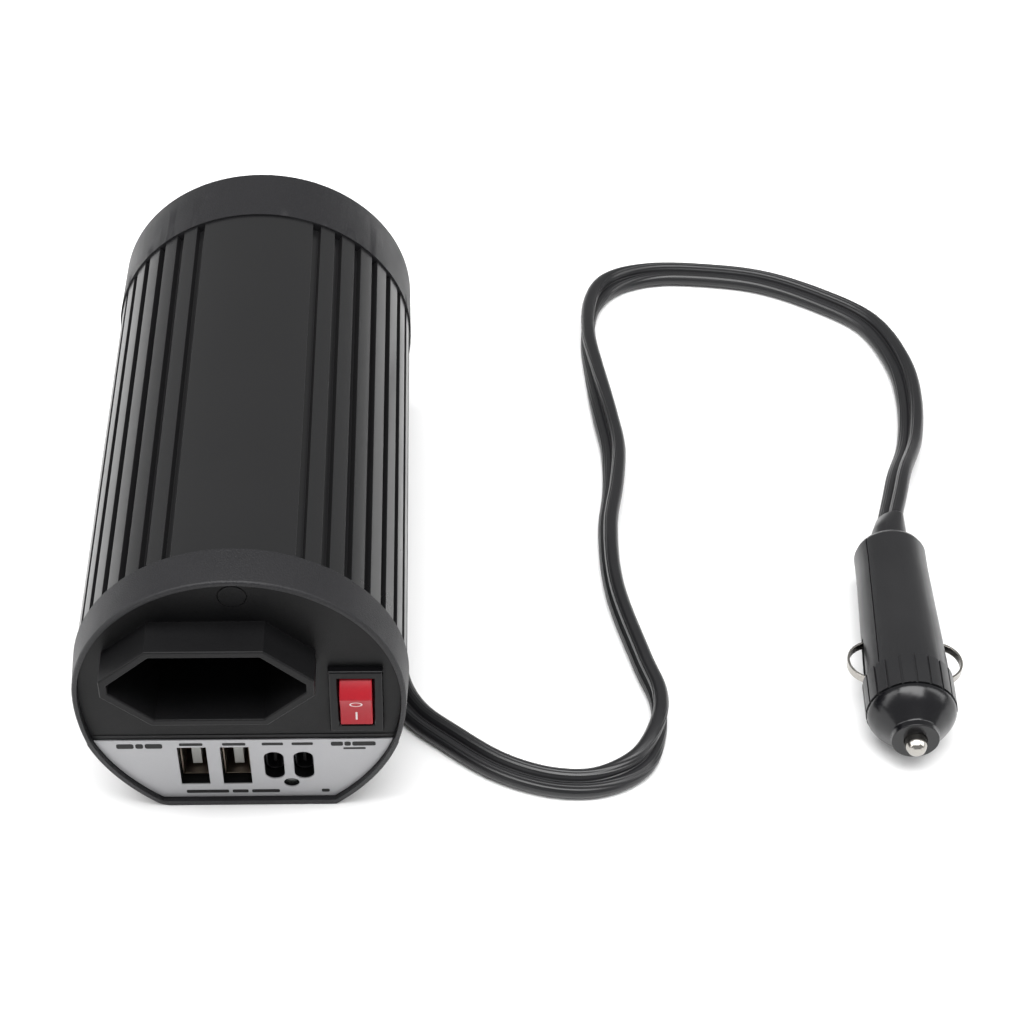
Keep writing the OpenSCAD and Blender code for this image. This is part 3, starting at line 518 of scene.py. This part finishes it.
def stroke_ring(name, at, right, down, out, radius, stroke):
    """A flat ring standing a hair proud of a face."""
    shape = bmesh.new()
    loops = []
    for reach, rise in ((radius, -INK), (radius, INK), (radius - stroke, INK), (radius - stroke, -INK)):
        loops.append([
            shape.verts.new(at + out * rise + right * reach * math.cos(math.tau * k / RING_POINTS)
                            + down * reach * math.sin(math.tau * k / RING_POINTS))
            for k in range(RING_POINTS)
        ])
    for near, far in zip(loops, loops[1:] + loops[:1]):
        for j in range(RING_POINTS):
            k = (j + 1) % RING_POINTS
            shape.faces.new((near[j], near[k], far[k], far[j]))
    bmesh.ops.recalc_face_normals(shape, faces=shape.faces)
    mesh = bpy.data.meshes.new(name)
    shape.to_mesh(mesh)
    shape.free()
    return new_piece(name, mesh, "rocker", "mark_white", "port_tongue")


def mark_rocker():
    reach = math.sqrt(ROCKER_R ** 2 - CREST ** 2)
    crest = rocker_point(-reach, CREST)
    crease = rocker_point(DISH - reach, 0)
    foot = rocker_point(-reach, -CREST)
    right = Vector((1, 0, 0))
    down = (crease - crest).normalized()
    out = down.cross(right)
    stroke_ring("mark_off", crest.lerp(crease, 0.53), right, down, out, 0.00125, 0.00028)
    down = (foot - crease).normalized()
    out = down.cross(right)
    printed("mark_on", [(0, 2.2, 0.36, 2.15, 0.12)], crease, right, down, out, "mark_white", "rocker",
            "port_tongue")


mark_rocker()


# ---- floor and light ----

def floor_material():
    made = bpy.data.materials.new("floor")
    made.use_nodes = True
    nodes, links = made.node_tree.nodes, made.node_tree.links
    shader = nodes["Principled BSDF"]
    shader.inputs["Roughness"].default_value = 0.7
    shader.inputs["Specular IOR Level"].default_value = 0.1
    grain = nodes.new("ShaderNodeTexNoise")
    grain.inputs["Scale"].default_value = 60
    tint = nodes.new("ShaderNodeMix")
    tint.data_type = "RGBA"
    tint.inputs[6].default_value = (0.90, 0.90, 0.90, 1)
    tint.inputs[7].default_value = (0.93, 0.93, 0.93, 1)
    links.new(grain.outputs["Fac"], tint.inputs[0])
    links.new(tint.outputs[2], shader.inputs["Base Color"])
    return made


def make_floor():
    shape = bmesh.new()
    bmesh.ops.create_grid(shape, x_segments=2, y_segments=2, size=6)
    mesh = bpy.data.meshes.new("floor")
    shape.to_mesh(mesh)
    shape.free()
    mesh.materials.append(floor_material())
    ground = bpy.data.objects.new("floor", mesh)
    ground.location.z = -0.00005
    bpy.context.collection.objects.link(ground)


def area_light(name, at, target, size, watts):
    light = bpy.data.lights.new(name, "AREA")
    light.shape = "RECTANGLE"
    light.size, light.size_y = size
    light.energy = watts
    lamp = bpy.data.objects.new(name, light)
    lamp.location = at
    lamp.rotation_mode = "QUATERNION"
    lamp.rotation_quaternion = (Vector(target) - Vector(at)).to_track_quat("-Z", "Y")
    bpy.context.collection.objects.link(lamp)


def make_world():
    world = bpy.data.worlds.new("studio")
    world.use_nodes = True
    backdrop = world.node_tree.nodes["Background"]
    backdrop.inputs["Color"].default_value = (1, 1, 1, 1)
    backdrop.inputs["Strength"].default_value = 0.45
    bpy.context.scene.world = world


make_floor()
make_world()
area_light("overhead", (0.0, -0.25, 1.5), (0.05, 0, 0), (1.6, 0.9), 34)
area_light("left", (-1.1, -0.2, 0.7), (0, 0, 0.03), (0.5, 1.2), 7)
area_light("right", (1.2, -0.1, 0.8), (0.05, 0, 0.03), (0.4, 1.2), 6)

bpy.context.scene.view_settings.view_transform = "Standard"
